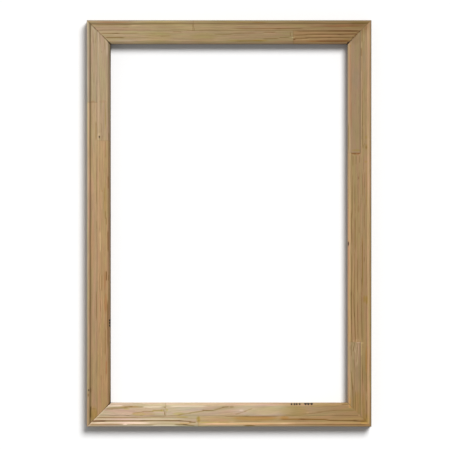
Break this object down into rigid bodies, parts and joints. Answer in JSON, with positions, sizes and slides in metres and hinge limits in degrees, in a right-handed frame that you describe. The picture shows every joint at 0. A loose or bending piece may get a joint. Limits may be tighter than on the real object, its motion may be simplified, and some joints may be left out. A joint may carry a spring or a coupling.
{
  "type": "screen printing frame",
  "caption": "Empty rectangular pine frame for screen printing, with mitred rails, a raised outer bead to stretch mesh over and an open window.",
  "frame": {"origin": "middle of the window, in the plane of the frame's back, which is the middle of the bottom of its box", "axes": "+Z out of the bead face that the mesh is stretched over, +Y along the long rails towards the top rail, +X towards the right rail seen from the bead face"},
  "size_m": [0.35, 0.5, 0.02],
  "materials": {
    "pine_bottom_bead": "planed bare pine, unvarnished",
    "pine_bottom_inner": "planed bare pine, unvarnished",
    "pine_left_bead": "planed bare pine, unvarnished",
    "pine_left_inner": "planed bare pine, unvarnished",
    "pine_right_bead": "planed bare pine, unvarnished",
    "pine_right_inner": "planed bare pine, unvarnished",
    "pine_top_bead": "planed bare pine, unvarnished",
    "pine_top_inner": "planed bare pine, unvarnished",
    "nail_steel": "bright steel strip"
  },
  "bodies": {
    "root": {"bottom_rail_bead_strip_left": "pine_bottom_bead", "bottom_rail_bead_strip_right": "pine_bottom_bead", "bottom_rail_inner_strip_left": "pine_bottom_inner", "bottom_rail_inner_strip_right": "pine_bottom_inner", "left_rail_bead_strip_lower": "pine_left_bead", "left_rail_bead_strip_upper": "pine_left_bead", "left_rail_inner_strip_lower": "pine_left_inner", "left_rail_inner_strip_upper": "pine_left_inner", "right_rail_bead_strip_whole": "pine_right_bead", "right_rail_inner_strip_lower": "pine_right_inner", "right_rail_inner_strip_middle": "pine_right_inner", "right_rail_inner_strip_upper": "pine_right_inner", "top_rail_bead_strip_left": "pine_top_bead", "top_rail_bead_strip_right": "pine_top_bead", "top_rail_inner_strip_left": "pine_top_inner", "top_rail_inner_strip_right": "pine_top_inner", "v_nail_bottom_left_inner": "nail_steel", "v_nail_bottom_left_outer": "nail_steel", "v_nail_bottom_right_inner": "nail_steel", "v_nail_bottom_right_outer": "nail_steel", "v_nail_top_left_inner": "nail_steel", "v_nail_top_left_outer": "nail_steel", "v_nail_top_right_inner": "nail_steel", "v_nail_top_right_outer": "nail_steel"}
  },
  "joints": []
}
